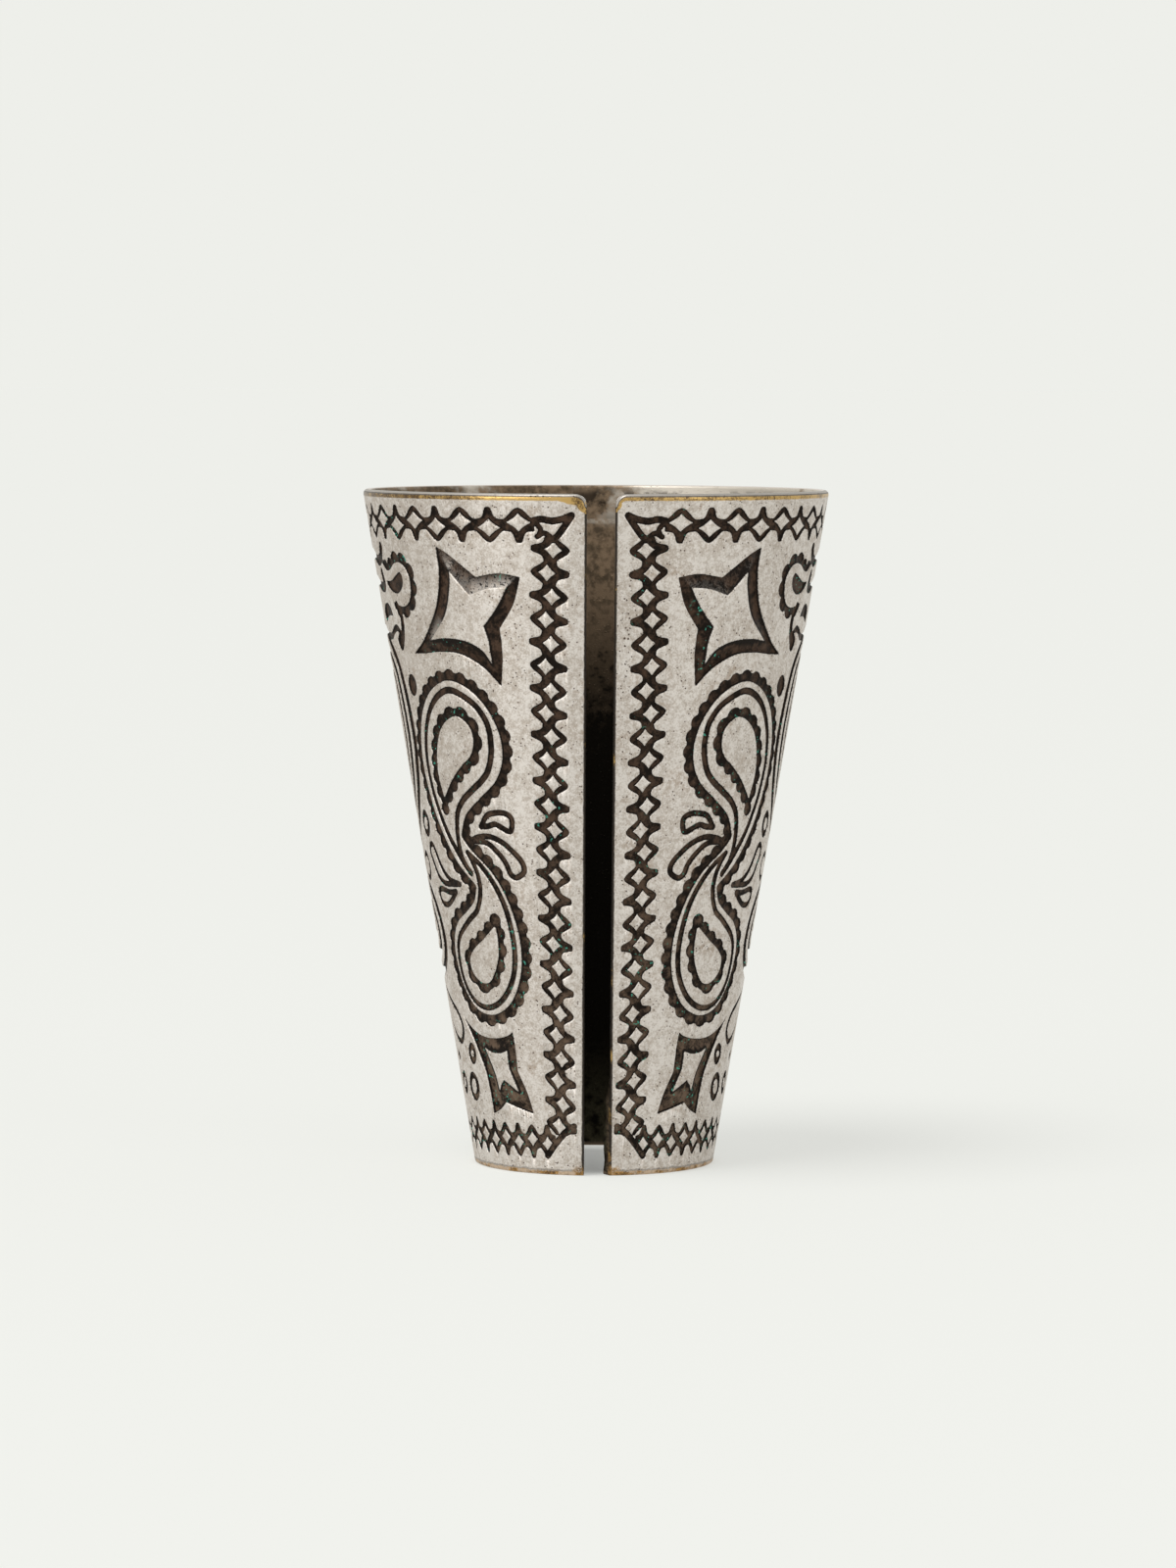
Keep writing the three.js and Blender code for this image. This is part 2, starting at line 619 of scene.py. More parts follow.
class Ornament:
    """The engraved pattern: borders of chains, stars, two leaf-shaped drops and small rings and drops."""

    UPPER_STAR = Outline(
        [(12.8, 97.9), (16.5, 98.2), (20.7, 97.2), (23.5, 98.8), (26.2, 100.2), (28.9, 101.1), (28.3, 97.0),
         (28.6, 93.5), (29.6, 90.0), (32.6, 85.0), (35.7, 82.0), (32.0, 82.8), (28.5, 83.7), (24.0, 84.1),
         (19.5, 82.6), (16.0, 79.8), (15.8, 85.0), (16.3, 89.3), (14.4, 92.4), (13.6, 94.4)],
        corners=(0, 2, 5, 10, 15, 17))
    UPPER_ISLAND = Outline(
        [(15.0, 96.2), (18.5, 95.6), (21.9, 94.2), (23.9, 95.8), (26.1, 97.6), (26.0, 95.0), (27.2, 90.0),
         (30.9, 85.1), (28.0, 86.0), (25.0, 86.4), (22.0, 86.2), (19.5, 85.2), (17.6, 83.1), (18.3, 87.0),
         (19.2, 89.3), (17.7, 91.3), (16.4, 93.3)],
        corners=(0, 2, 4, 7, 12, 14))
    LOWER_STAR = Outline(
        [(14.3, 22.9), (15.4, 22.0), (17.5, 21.2), (20.0, 20.8), (22.2, 21.0), (24.6, 21.8), (27.2, 23.2),
         (23.8, 19.8), (20.9, 15.5), (19.8, 12.5), (18.8, 8.0), (17.0, 9.2), (15.8, 10.6), (12.5, 10.0),
         (10.3, 9.6), (11.5, 13.0), (13.3, 16.4), (13.8, 20.5)],
        corners=(0, 6, 10, 12, 14, 16))
    LOWER_ISLAND = Outline(
        [(15.5, 19.4), (17.0, 18.7), (19.0, 18.5), (20.5, 18.9), (19.3, 17.1), (18.1, 15.0), (17.2, 12.4),
         (16.9, 13.4), (16.2, 14.4), (14.9, 13.8), (13.2, 12.9), (14.2, 14.8), (15.1, 16.4), (15.3, 17.6)],
        corners=(0, 3, 6, 8, 10, 12))
    PAIR_EDGE = Outline(
        [(24.0, 54.0), (22.9, 57.2), (19.7, 60.6), (16.7, 63.8), (15.3, 67.8), (15.9, 72.3), (18.6, 76.7),
         (22.6, 79.4), (27.2, 79.9), (31.5, 77.4), (34.5, 73.2), (35.8, 68.2), (35.5, 62.9), (33.5, 57.9),
         (30.5, 53.2), (26.4, 48.8), (22.1, 45.8), (22.6, 43.7), (24.5, 41.6), (27.0, 39.3), (28.4, 36.3),
         (28.5, 33.2), (27.5, 30.1), (25.5, 27.0), (22.4, 24.6), (18.6, 24.2), (15.2, 26.0), (13.0, 29.2),
         (11.9, 34.0), (12.4, 39.4), (14.5, 45.0), (17.7, 49.4), (22.2, 52.5)],
        corners=(0, 16))
    UPPER_LEAF = Outline(
        [(22.6, 48.0), (24.5, 50.0), (25.5, 53.2), (25.5, 57.1), (24.2, 59.7), (21.9, 62.0), (19.9, 63.9),
         (18.6, 65.9), (18.0, 69.0), (18.4, 72.4), (19.6, 74.7), (21.9, 76.6), (26.0, 77.8), (29.0, 76.6),
         (31.6, 73.7), (33.2, 69.8), (33.6, 66.0), (33.2, 62.9), (31.6, 58.7), (28.5, 53.9), (25.0, 50.2)],
        corners=(0,))
    LOWER_LEAF = Outline(
        [(23.3, 51.3), (20.4, 49.7), (17.6, 46.9), (15.5, 43.3), (14.2, 39.0), (13.75, 35.0), (14.3, 31.4),
         (16.0, 28.2), (18.4, 26.3), (21.0, 25.9), (23.6, 27.0), (25.8, 29.7), (26.8, 33.6), (26.2, 36.5),
         (23.3, 40.0), (21.4, 42.0), (20.6, 45.0), (21.0, 47.8), (22.2, 50.0)],
        corners=(0,))
    UPPER_DROP = Outline(
        [(28.7, 59.4), (26.4, 63.0), (24.0, 65.8), (22.2, 67.6), (21.5, 70.0), (22.3, 72.4), (24.8, 73.7),
         (27.2, 72.7), (29.2, 70.3), (30.2, 66.8), (30.1, 63.0)],
        corners=(0,))
    LOWER_DROP = Outline(
        [(17.6, 40.0), (20.0, 37.4), (22.4, 35.1), (23.4, 33.2), (22.7, 31.2), (20.6, 30.0), (18.8, 30.6),
         (17.5, 33.2), (17.0, 35.8), (17.2, 38.2)],
        corners=(0,))
    SMALL_DROPS = (
        [(20.2, 56.2), (19.0, 58.2), (17.4, 58.9), (15.8, 59.1), (14.5, 58.6), (14.2, 57.5), (14.7, 56.2),
         (17.2, 57.0), (18.8, 56.5)],
        [(22.6, 53.4), (20.6, 54.4), (18.4, 54.8), (16.0, 54.2), (13.9, 52.8), (12.4, 51.3), (12.1, 49.8),
         (13.4, 48.75), (14.5, 49.2), (15.4, 50.9), (17.0, 52.5), (19.2, 53.7)],
        [(25.5, 45.5), (27.6, 45.0), (30.0, 44.6), (32.2, 45.2), (33.9, 46.9), (35.2, 48.4), (35.0, 49.7),
         (33.9, 50.1), (32.9, 49.3), (31.6, 47.8), (30.1, 46.5), (28.0, 45.6)],
        [(26.6, 44.0), (28.6, 43.4), (31.2, 43.3), (32.4, 42.7), (32.1, 41.4), (30.8, 40.8), (29.1, 41.3),
         (27.7, 42.6)],
        [(36.5, 25.0), (32.0, 23.7), (28.8, 22.6), (27.1, 20.4), (28.2, 17.9), (30.8, 18.1), (34.0, 20.5)],
    )
    RINGS = (
        RingMotif((37.1, 76.4), (1.65, 1.85)),
        RingMotif((36.3, 53.1), (1.9, 2.35), (0.7, 1.0)),
        RingMotif((38.4, 45.2), (2.3, 2.6), (1.2, 1.5)),
        RingMotif((24.3, 16.9), (1.35, 1.9), (0.4, 0.5)),
        RingMotif((24.4, 11.2), (1.9, 2.5), (0.7, 1.2)),
        RingMotif((28.8, 10.5), (1.55, 2.1), (0.4, 0.8)),
        RingMotif((31.0, 14.5), (0.9, 0.9)),
        RingMotif((28.6, 57.6), (1.15, 1.15)),
        RingMotif((17.6, 41.0), (1.2, 1.2)),
    )
    SCROLL = Outline(
        [(41.2, 89.1), (39.4, 89.0), (37.6, 89.4), (36.2, 90.6), (35.6, 92.6), (35.9, 94.7), (37.3, 96.2),
         (39.2, 96.6), (41.0, 96.0), (42.6, 94.7), (44.2, 94.1), (45.6, 94.4)],
        closed=False)
    SCROLL_STROKES = (
        ([(41.0, 88.9), (39.6, 87.6), (39.2, 86.0), (39.4, 84.0), (40.0, 82.6)], 1.5),
        ([(39.9, 84.2), (41.6, 84.9), (43.2, 84.2), (45.0, 82.7), (48.0, 82.2), (51.2, 83.2), (54.4, 86.0)],
         1.2),
        ([(46.4, 97.4), (47.0, 95.6), (49.2, 94.4), (53.0, 94.5), (56.6, 93.5)], 1.9),
        ([(47.3, 92.8), (46.3, 90.9), (48.6, 90.1), (52.0, 90.1), (55.5, 89.3)], 1.8),
    )
    SCROLL_PITS = (
        [(45.2, 92.1), (42.6, 92.7), (40.5, 94.1), (39.2, 94.9), (38.2, 94.5), (38.0, 93.3), (38.6, 92.1),
         (40.0, 91.1), (42.0, 90.8), (44.0, 91.2)],
        [(42.8, 86.6), (44.2, 87.9), (46.0, 88.1), (48.0, 87.2), (49.3, 85.6), (48.2, 84.3), (46.8, 84.9),
         (45.4, 86.0)],
        [(40.4, 85.0), (39.2, 83.6), (39.2, 82.2), (40.2, 81.4), (41.4, 82.0), (41.8, 83.2)],
    )
    SIDE_DROPS = (
        [(0.0, 50.5), (2.0, 54.0), (5.4, 58.5), (8.8, 64.0), (10.8, 71.5), (9.9, 81.0), (6.8, 85.5),
         (0.0, 88.6)],
        [(0.0, 49.0), (2.0, 47.0), (5.4, 44.4), (7.6, 40.6), (7.8, 36.4), (5.2, 33.0), (0.0, 31.6)],
    )
    SIDE_DROP_WIDTH = 1.9
    SIDE_DROP_INSETS = (0.0, 2.9, 5.8)
    SMALL_DROP_WIDTH = 1.04
    LOWER_LEAF_WIDTH = 1.05

    TOP_CHAIN = Chain(5.15, bend=2.84, spike=2.92, notch=1.0, spike_half=0.84, diamond=1.46)
    FOOT_CHAIN = Chain(
        2.68, bend=2.80, spike=2.88, notch=1.15, spike_half=0.58, diamond=1.26, diamond_shift=0.35,
        diamond_gap=0.70)
    RING_CHAINS = (RingChain(106.6, 20.2, 7.99, 1.0, TOP_CHAIN), RingChain(5.5, 22.2, 7.51, -1.0, FOOT_CHAIN))
    CORNER_STROKES = (
        ([(4.5, 108.2), (5.8, 107.6), (7.6, 107.2), (9.3, 107.4), (10.6, 107.1)], 1.2),
        ([(4.5, 108.1), (5.6, 106.4), (6.6, 105.0), (7.4, 104.2)], 1.15),
        ([(7.4, 104.3), (8.8, 105.2), (10.0, 104.6)], 0.95),
        ([(10.6, 107.0), (9.5, 105.9), (9.6, 105.0)], 0.95),
        ([(3.5, 8.2), (4.6, 7.4), (6.4, 5.2), (7.9, 2.9)], 1.1),
    )

    def __init__(self, sheet: ConeSheet) -> None:
        """Keeps the sheet that the pattern lies on."""
        self.sheet = sheet

    def engraved(self, step: float) -> EngravingMap:
        """Engraves half of the sheet.

        Args:
            step: Size of the map's cells at the rim, in millimetres.

        Returns:
            The finished map.
        """
        target = EngravingMap(self.sheet, step)
        for motif in self._mirrored_motifs():
            motif.engrave(target)
        target.mirror()
        for motif in self.RING_CHAINS:
            motif.engrave(target)
        for points, width in self.CORNER_STROKES:
            LineMotif(Outline(points, closed=False), width).engrave(target)
        return target

    def _mirrored_motifs(self) -> Iterator[Motif]:
        """The motifs between the lip and the middle of the side.

        Returns:
            The motifs one by one.
        """
        yield StarMotif(self.UPPER_STAR, self.UPPER_ISLAND)
        # The lower star gets no painted glint
        yield StarMotif(self.LOWER_STAR, self.LOWER_ISLAND, shine=0.0, inset=0.12)
        yield ScallopMotif(self.PAIR_EDGE, middle=0.05, half_width=0.76, mark_radius=1.28, mark_middle=0.0)
        yield LineMotif(self.UPPER_LEAF)
        yield LineMotif(self.LOWER_LEAF, self.LOWER_LEAF_WIDTH)
        yield ScallopMotif(self.UPPER_DROP, middle=0.65, half_width=0.70, mark_radius=1.26, mark_middle=0.6)
        yield ScallopMotif(self.LOWER_DROP, middle=0.65, half_width=0.62, mark_radius=1.16, mark_middle=0.6)
        for points in self.SMALL_DROPS:
            yield LineMotif(Outline(points, corners=(0,)), self.SMALL_DROP_WIDTH)
        yield from self.RINGS
        yield ScallopMotif(self.SCROLL, middle=0.45, half_width=0.62, mark_radius=1.3, mark_middle=0.5)
        for points, width in self.SCROLL_STROKES:
            yield LineMotif(Outline(points, closed=False), width)
        for points in self.SCROLL_PITS:
            yield PitMotif(Outline(points, corners=(0,)))
        for points in self.SIDE_DROPS:
            outline = Outline(self._on_side(points), corners=(0,))
            yield LineMotif(outline, self.SIDE_DROP_WIDTH, self.SIDE_DROP_INSETS)
        yield LipChain()

    def _on_side(self, half: Sequence[Point]) -> list[Point]:
        """A closed outline about the middle line of the side.

        Args:
            half: One half of the outline, in a flat frame of which that line is the Y axis.

        Returns:
            The whole outline's points on the flat sheet.
        """
        whole = [*half, *((-x, y) for x, y in reversed(half[1:-1]))]
        turn = self.sheet.half_angle / 2
        points = []
        for x, y in whole:
            slant = math.hypot(x, y + self.sheet.foot_slant)
            angle = turn + math.atan2(x, y + self.sheet.foot_slant)
            points.append((slant * math.sin(angle), slant * math.cos(angle) - self.sheet.foot_slant))
        return points


class Wall(Enum):
    """The three stretches of the sleeve, by the CAD node that each one dresses."""

    BACK = "back_wall"
    LEFT = "left_wall"
    RIGHT = "right_wall"


@dataclass
class WallPiece:
    """One stretch of the sheet, engraved outside and plain inside.

    A side wall runs from its lip to its hinge line, and the back from one hinge line to the other. Low down
    on the right lip the cut is rough, and the inner face juts out past the outer one.
    """

    wall: Wall
    sheet: ConeSheet
    pitch: float
    edge_lines: int = 6
    inner_pitch: float = 2.0
    inner_edge_lines: int = 3
    most_triangles: int = 184000
    normal_weight: int = 80
    sharp_from: float = math.radians(80.0)
    hinge_turn: float = math.radians(120.0)
    bend_length: float = 16.0
    far_from_lip: float = 99.0
    rough_top: float = 14.8
    rough_fade: float = 1.4
    rough_jut: float = 0.85
    rough_reach: float = 2.5
    rough_waves: tuple[tuple[float, float, float], ...] = ((0.10, 1.7, 0.0), (0.06, 4.1, 1.0))
    inner_from: float = 0.7
    inner_over: float = 0.5

    @property
    def glint_share(self) -> float:
        """How strongly the stars' upper slopes get their painted glint, fully on the left wall and faintly on
        the others.
        """
        return 1.0 if self.wall is Wall.LEFT else 0.2

    def build(self, engraving: EngravingMap) -> bpy.types.Object:
        """Models the stretch.

        Args:
            engraving: The engraved map of half of the sheet.

        Returns:
            The finished piece, without its material.
        """
        outer = self._face("outer", self.pitch, self.edge_lines, engraving)
        inner = self._face("inner", self.inner_pitch, self.inner_edge_lines, None)
        outer_edge = self._border(outer)
        inner_edge = [len(outer.data.vertices) + i for i in self._border(inner)]
        corners = (self._corners(outer), self._corners(inner))
        bpy.ops.object.select_all(action="DESELECT")
        inner.select_set(True)
        outer.select_set(True)
        bpy.context.view_layer.objects.active = outer
        bpy.ops.object.join()
        outer.name = outer.data.name = f"engraved_{self.wall.value}"
        self._close(outer, outer_edge, inner_edge, corners)
        self._thin(outer)
        self._record(outer, engraving)
        return outer

    @staticmethod
    def _edge_lines(size: float, steps: int) -> Array:
        """Distances from an edge of the grid lines on its rounding, the outermost first."""
        return size * (1 - np.sin(np.linspace(math.pi / 2, 0, steps + 1)))[:-1]

    def _rows(self, pitch: float, steps: int) -> Array:
        """Slants of the grid's rows.

        Args:
            pitch: Distance between rows in millimetres.
            steps: Rows on each rounded edge.

        Returns:
            The slants from the rim down, one row each.
        """
        s = self.sheet
        tall = s.rim_slant - s.foot_slant
        rim = self._edge_lines(s.rim_round, steps)
        rows = np.linspace(s.rim_round, tall - s.base_round, round(tall / pitch) + 1)
        foot = tall - self._edge_lines(s.base_round, steps)[::-1]
        return s.rim_slant - np.concatenate([rim, rows, foot])[:, None]

    def _back_grid(self, pitch: float, steps: int) -> tuple[Array, Array, Array]:
        """The grid of the back.

        Args:
            pitch: Distance between grid lines at mid height, in millimetres.
            steps: Lines on each rounded edge.

        Returns:
            Slants, flat angles and distances from a lip.
        """
        s = self.sheet
        middle = 0.5 * (s.base_radius + s.rim_radius)
        count = round(2 * (math.pi - self.hinge_turn) * middle / pitch)
        turns = np.linspace(self.hinge_turn, 2 * math.pi - self.hinge_turn, count + 1)
        slant, angle = np.broadcast_arrays(self._rows(pitch, steps), turns * math.sin(s.slope))
        return slant, angle, np.full(slant.shape, self.far_from_lip)

    def _side_grid(self, pitch: float, steps: int, inside: bool) -> tuple[Array, Array, Array]:
        """The grid of a side.

        Args:
            pitch: Distance between grid lines at mid height, in millimetres.
            steps: Lines on each rounded edge.
            inside: Whether it is the inner face's grid.

        Returns:
            Slants, flat angles and distances from the lip.
        """
        s = self.sheet
        middle = 0.5 * (s.base_radius + s.rim_radius)
        count = round(self.hinge_turn * middle / pitch)
        hinge = self.hinge_turn * math.sin(s.slope)
        rows = self._rows(pitch, steps)
        width = rows * (hinge - s.lip_angle(rows))
        edge = self._edge_lines(s.lip_round, steps) + 0 * width
        field = s.lip_round + np.linspace(0, 1, count + 1) * (width - s.lip_round)
        slant, lip = self._drawn_in(rows + np.zeros(count + 1 + steps), np.concatenate([edge, field], axis=1))
        jut = self._jut(slant - s.foot_slant, lip) if inside else 0.0
        angle = s.lip_angle(slant) + (lip - jut) / slant
        angle[:, -1] = hinge
        return slant, angle, lip

    def _face(
        self, name: str, pitch: float, steps: int, engraving: Optional[EngravingMap],
    ) -> bpy.types.Object:
        """A grid bent to the sheet's outer or inner face, its edges rounded.

        Args:
            name: Name of the face's object.
            pitch: Distance between grid lines in millimetres.
            steps: Lines on each rounded edge.
            engraving: The engraving of an outer face, or None for the inner face.

        Returns:
            The face.
        """
        s = self.sheet
        inside = engraving is None
        if self.wall is Wall.BACK:
            slant, angle, lip = self._back_grid(pitch, steps)
        else:
            slant, angle, lip = self._side_grid(pitch, steps, inside)
        signed = -angle if self.wall is Wall.LEFT else angle
        drop = self._rounding(lip, s.rim_slant - slant, slant - s.foot_slant)
        if inside:
            depth = s.thickness - drop
        else:
            depth = np.maximum(drop, engraving.sample(engraving.depth, slant, signed))
        points = s.bent(slant, signed, depth)
        flip = (self.wall is Wall.LEFT) != inside
        return self._grid(name, points[:, ::-1] if flip else points)

    def _jut(self, height: Array, lip: Array) -> Array:
        """How far the rough cut of the right lip leaves the inner face over the outer one.

        Args:
            height: Distances from the foot.
            lip: Distances from the lip.

        Returns:
            The overhang at each point.
        """
        if self.wall is not Wall.RIGHT:
            return np.zeros(lip.shape)
        low = np.clip((self.rough_top - height) / self.rough_fade, 0, 1)
        waves = sum(size * np.sin(rate * height + start) for size, rate, start in self.rough_waves)
        return (self.rough_jut + waves) * low * np.clip(1 - lip / self.rough_reach, 0, 1)

    def _corner_shares(self, lip: Array, rim: Array) -> tuple[Array, Array]:
        """How near points lie to the lip and the rim, from 0 at the round corner's size to 1 at the edge."""
        size = self.sheet.lip_corner
        return np.clip((size - lip) / size, 0, 1), np.clip((size - rim) / size, 0, 1)

    def _drawn_in(self, slant: Array, lip: Array) -> tuple[Array, Array]:
        """Draws the grid in to the round corner between rim and lip.

        Args:
            slant: Slants of the grid points.
            lip: Their distances from the lip.

        Returns:
            Both, with the corner's square drawn onto a quarter disc.
        """
        size = self.sheet.lip_corner
        p, q = self._corner_shares(lip, self.sheet.rim_slant - slant)
        lip = lip + size * p * (1 - np.sqrt(1 - q * q / 2))
        slant = slant - size * q * (1 - np.sqrt(1 - p * p / 2))
        return slant, lip

    def _rounding(self, lip: Array, rim: Array, foot: Array) -> Array:
        """How far a face falls away at its rounded edges.

        Args:
            lip: Distances from the lip.
            rim: Distances from the rim.
            foot: Distances from the foot.

        Returns:
            The drop at each point.
        """
        s = self.sheet
        p, q = self._corner_shares(lip, rim)
        share = q * q / np.maximum(p * p + q * q, TINY)
        radius = s.lip_round + (s.rim_round - s.lip_round) * share
        edge = s.lip_corner * (1 - np.hypot(p, q))
        drop = np.zeros(lip.shape)
        for gap, size in ((edge, radius), (lip, s.lip_round), (foot, s.base_round)):
            inside = np.clip((size - gap) / size, 0, 1)
            drop = np.maximum(drop, size * (1 - np.sqrt(1 - inside**2)))
        return drop

    @staticmethod
    def _grid(name: str, points: Array) -> bpy.types.Object:
        """A grid primitive with its points moved into place.

        Args:
            name: Name of the object.
            points: Rows of points in metres.

        Returns:
            The grid, which keeps its counts of rows and columns.
        """
        rows, columns, _ = points.shape
        bpy.ops.object.select_all(action="DESELECT")
        bpy.ops.mesh.primitive_grid_add(x_subdivisions=columns - 1, y_subdivisions=rows - 1, size=1.0)
        face = bpy.context.object
        face.name = name
        face["columns"] = columns
        face["rows"] = rows
        face.data.vertices.foreach_set("co", points.astype(np.float32).ravel())
        return face

    @staticmethod
    def _border(face: bpy.types.Object) -> list[int]:
        """The border of a grid.

        Args:
            face: The grid.

        Returns:
            Indices of its vertices in order, from the first corner along the first row.
        """
        columns, rows = face["columns"], face["rows"]
        first = list(range(columns - 1))
        right = [columns - 1 + columns * r for r in range(rows - 1)]
        last = [columns * rows - 1 - c for c in range(columns - 1)]
        left = [columns * (rows - 1 - r) for r in range(rows - 1)]
        return first + right + last + left

    @staticmethod
    def _corners(face: bpy.types.Object) -> tuple[int, int, int, int]:
        """Places of the four corners in a grid's border."""
        columns, rows = face["columns"] - 1, face["rows"] - 1
        return 0, columns, columns + rows, 2 * columns + rows

    @staticmethod
    def _close(piece: bpy.types.Object, outer: list[int], inner: list[int], corners: Sequence[tuple]) -> None:
        """Joins the borders of the outer and the inner face side by side with a strip of triangles.

        Args:
            piece: The object that holds both faces.
            outer: Border of the outer face.
            inner: Border of the inner face, which runs the other way round.
            corners: Places of the corners in the two borders.
        """
        mesh = bmesh.new()
        mesh.from_mesh(piece.data)
        mesh.verts.ensure_lookup_table()
        outer_stops = [*corners[0], len(outer)]
        inner_stops = [*corners[1], len(inner)]
        sides = [outer[a:b] + [outer[b % len(outer)]] for a, b in zip(outer_stops, outer_stops[1:])]
        backs = [inner[a:b] + [inner[b % len(inner)]] for a, b in zip(inner_stops, inner_stops[1:])]
        for side, back in zip(sides, (backs[0], backs[3], backs[2], backs[1])):
            a = [mesh.verts[i] for i in side]
            b = [mesh.verts[i] for i in reversed(back)]
            reach_a = WallPiece._shares(a)
            reach_b = WallPiece._shares(b)
            i = j = 0
            while i < len(a) - 1 or j < len(b) - 1:
                step_a = j == len(b) - 1 or (i < len(a) - 1 and reach_a[i + 1] <= reach_b[j + 1])
                third = a[i + 1] if step_a else b[j + 1]
                mesh.faces.new((a[i], b[j], third))
                i, j = (i + 1, j) if step_a else (i, j + 1)
        mesh.to_mesh(piece.data)
        mesh.free()

    @staticmethod
    def _shares(line: Sequence[bmesh.types.BMVert]) -> list[float]:
        """How far along a line of vertices each one lies.

        Args:
            line: The vertices in order.

        Returns:
            Shares of the line's length, from 0 to 1.
        """
        reach = [0.0]
        for a, b in zip(line, line[1:]):
            reach.append(reach[-1] + (b.co - a.co).length)
        return [r / reach[-1] for r in reach]

    def _thin(self, piece: bpy.types.Object) -> None:
        """Thins the mesh where it is even, so that triangles lie along the grooves, and smooths its shading.

        Args:
            piece: The wall.
        """
        mesh = piece.data
        triangles = sum(len(p.vertices) - 2 for p in mesh.polygons)
        if triangles > self.most_triangles:
            thin = piece.modifiers.new("thin", "DECIMATE")
            thin.ratio = self.most_triangles / triangles
            bpy.ops.object.modifier_apply(modifier=thin.name)
        bpy.ops.object.shade_smooth_by_angle(angle=self.sharp_from)
        even = piece.modifiers.new("even", "WEIGHTED_NORMAL")
        even.weight = self.normal_weight
        even.keep_sharp = True
        bpy.ops.object.modifier_apply(modifier=even.name)

    def _record(self, piece: bpy.types.Object, engraving: EngravingMap) -> None:
        """Stores on each vertex what the finish reads: depth, painted glint, resting place, distances to
        edges and side.

        Args:
            piece: The wall.
            engraving: The engraved map.
        """
        s = self.sheet
        mesh = piece.data
        points = np.empty(len(mesh.vertices) * 3, np.float32)
        mesh.vertices.foreach_get("co", points)
        points = points.reshape(-1, 3).astype(float)
        slant, angle, depth = s.unbent(points)
        inner = np.clip((depth - self.inner_from) / self.inner_over, 0, 1)
        recess = np.where(inner > 0, 0.0, engraving.sample(engraving.stain, slant, angle))
        lip = (np.abs(angle) - s.lip_angle(np.clip(slant, s.foot_slant, s.rim_slant))) * slant
        rim = s.rim_slant - slant
        p, q = self._corner_shares(lip, rim)
        rim = np.where(p * q > 0, s.lip_corner * (1 - np.hypot(p, q)), rim)
        edges = np.stack([lip, slant - s.foot_slant, rim], axis=1)
        # The stars' painted glint, full on the left wall
        shine = engraving.sample(engraving.shine, slant, angle) * self.glint_share
        for name, values in (("recess", recess), ("inner", inner), ("shine", shine)):
            attribute = mesh.attributes.new(name, "FLOAT", "POINT")
            attribute.data.foreach_set("value", values.astype(np.float32).ravel())
        for name, values in (("rest", points / MM), ("edges", edges)):
            attribute = mesh.attributes.new(name, "FLOAT_VECTOR", "POINT")
            attribute.data.foreach_set("vector", values.astype(np.float32).ravel())

    def fit(self, piece: bpy.types.Object) -> None:
        """Ties the back to the frame; a side keeps its place, with its transform baked into its mesh.

        Args:
            piece: The wall.
        """
        if self.wall is Wall.BACK:
            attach(piece, "back")
        else:
            side = "left" if self.wall is Wall.LEFT else "right"
            turn = Matrix.Rotation(self.hinge_turn * (1 if side == "right" else -1), 3, "Z")
            towards_lip = turn @ Vector((-1.0 if side == "right" else 1.0, 0.0, 0.0))
            tuple(towards_lip * self.bend_length * MM)
            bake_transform(piece)
        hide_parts(self.wall.value)


class Socket:
    """One shader output, with the maths operators."""

    def __init__(self, sketch: "NodeSketch", output: bpy.types.NodeSocket) -> None:
        """Wraps an output of a node in the sketch."""
        self.sketch = sketch
        self.output = output

    def _maths(self, operation: str, *values: Union["Socket", float]) -> "Socket":
        """A Math node over the values."""
        return self.sketch.node("ShaderNodeMath", {"operation": operation}, dict(enumerate(values)))

    def __add__(self, other: Union["Socket", float]) -> "Socket":
        """Sum."""
        return self._maths("ADD", self, other)

    def __radd__(self, other: float) -> "Socket":
        """Sum with a number before."""
        return self._maths("ADD", other, self)

    def __sub__(self, other: Union["Socket", float]) -> "Socket":
        """Difference."""
        return self._maths("SUBTRACT", self, other)

    def __rsub__(self, other: float) -> "Socket":
        """Difference from a number."""
        return self._maths("SUBTRACT", other, self)

    def __mul__(self, other: Union["Socket", float]) -> "Socket":
        """Product."""
        return self._maths("MULTIPLY", self, other)

    def __rmul__(self, other: float) -> "Socket":
        """Product with a number before."""
        return self._maths("MULTIPLY", other, self)

    def __truediv__(self, other: Union["Socket", float]) -> "Socket":
        """Quotient."""
        return self._maths("DIVIDE", self, other)

    def __rtruediv__(self, other: float) -> "Socket":
        """Quotient of a number."""
        return self._maths("DIVIDE", other, self)

    def most(self, other: Union["Socket", float]) -> "Socket":
        """The larger of two."""
        return self._maths("MAXIMUM", self, other)

    def least(self, other: Union["Socket", float]) -> "Socket":
        """The smaller of two."""
        return self._maths("MINIMUM", self, other)

    def ramp(self, low: float, high: float) -> "Socket":
        """A smooth rise from 0 to 1, or a fall where low is above high.

        Args:
            low: Where the result is 0.
            high: Where it is 1.

        Returns:
            The result.
        """
        if low > high:
            return 1.0 - self.ramp(high, low)
        settings = {"interpolation_type": "SMOOTHSTEP"}
        sockets = {"Value": self, "From Min": low, "From Max": high}
        return self.sketch.node("ShaderNodeMapRange", settings, sockets, "Result")

    def band(self, low: float, rise: float, fall: float, high: float) -> "Socket":
        """1 between rise and fall, 0 below low and above high."""
        return self.ramp(low, rise) * self.ramp(high, fall)


Value = Union[Socket, float, Colour]


